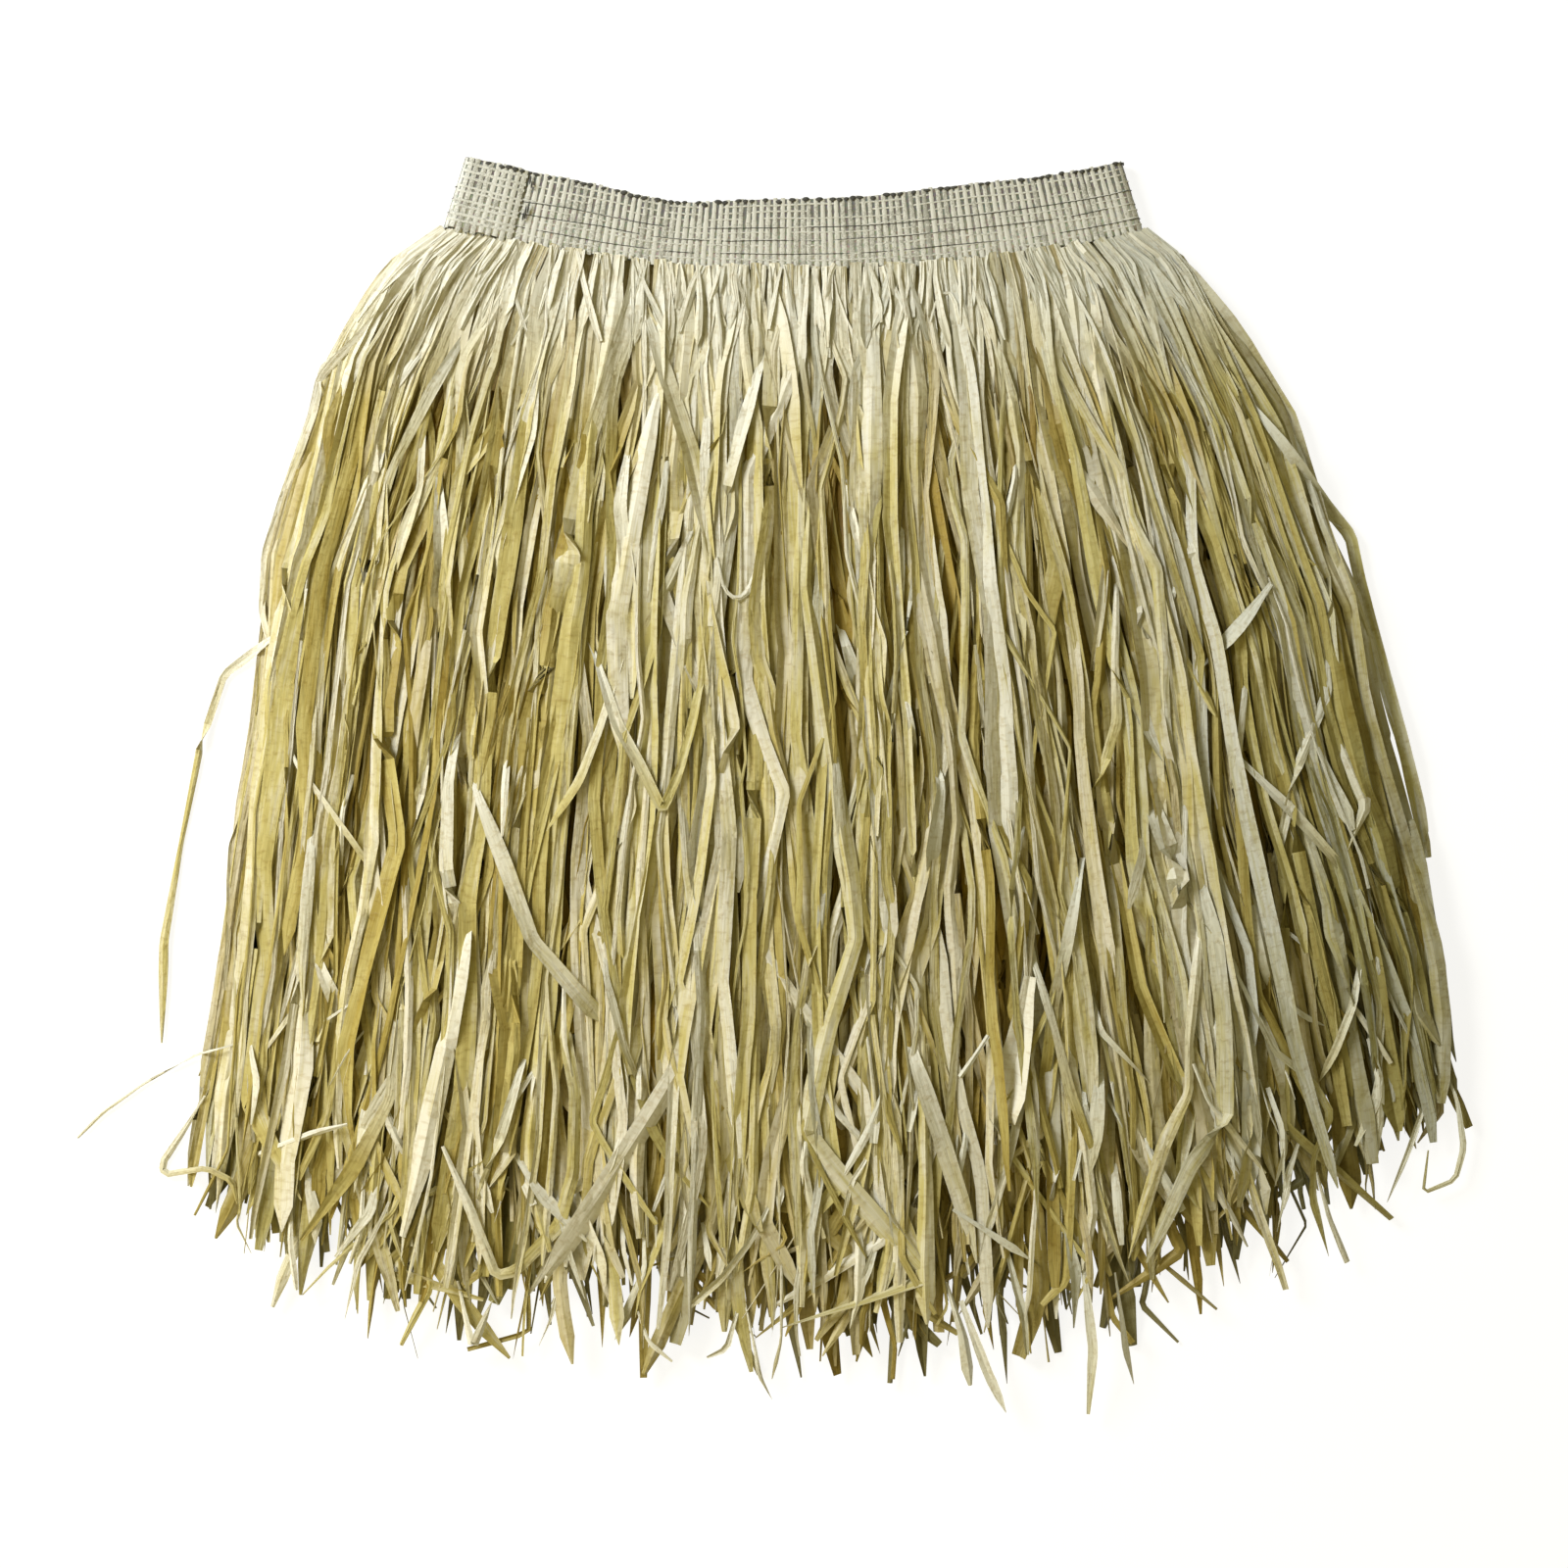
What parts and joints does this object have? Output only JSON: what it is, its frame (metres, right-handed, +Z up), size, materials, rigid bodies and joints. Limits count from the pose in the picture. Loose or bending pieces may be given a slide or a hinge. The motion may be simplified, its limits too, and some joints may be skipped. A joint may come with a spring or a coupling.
{
  "type": "grass skirt",
  "caption": "Short grass skirt laid flat: layered raffia strands fanning down from a woven elastic waistband.",
  "frame": {"origin": "under the middle of the skirt's outline, on the surface it lies on", "axes": "+Z up out of the surface, +X across the waist to the right as seen in the picture, +Y from hem to waistband"},
  "size_m": [0.6396, 0.578, 0.0233],
  "materials": {
    "tape": "matte",
    "raffia_front": "satin",
    "raffia_back": "satin"
  },
  "bodies": {
    "root": {"waistband": "tape", "fringe_front_outer": "raffia_front", "fringe_front_middle": "raffia_front", "fringe_front_inner": "raffia_front", "fringe_back_inner": "raffia_back", "fringe_back_outer": "raffia_back"}
  },
  "joints": []
}
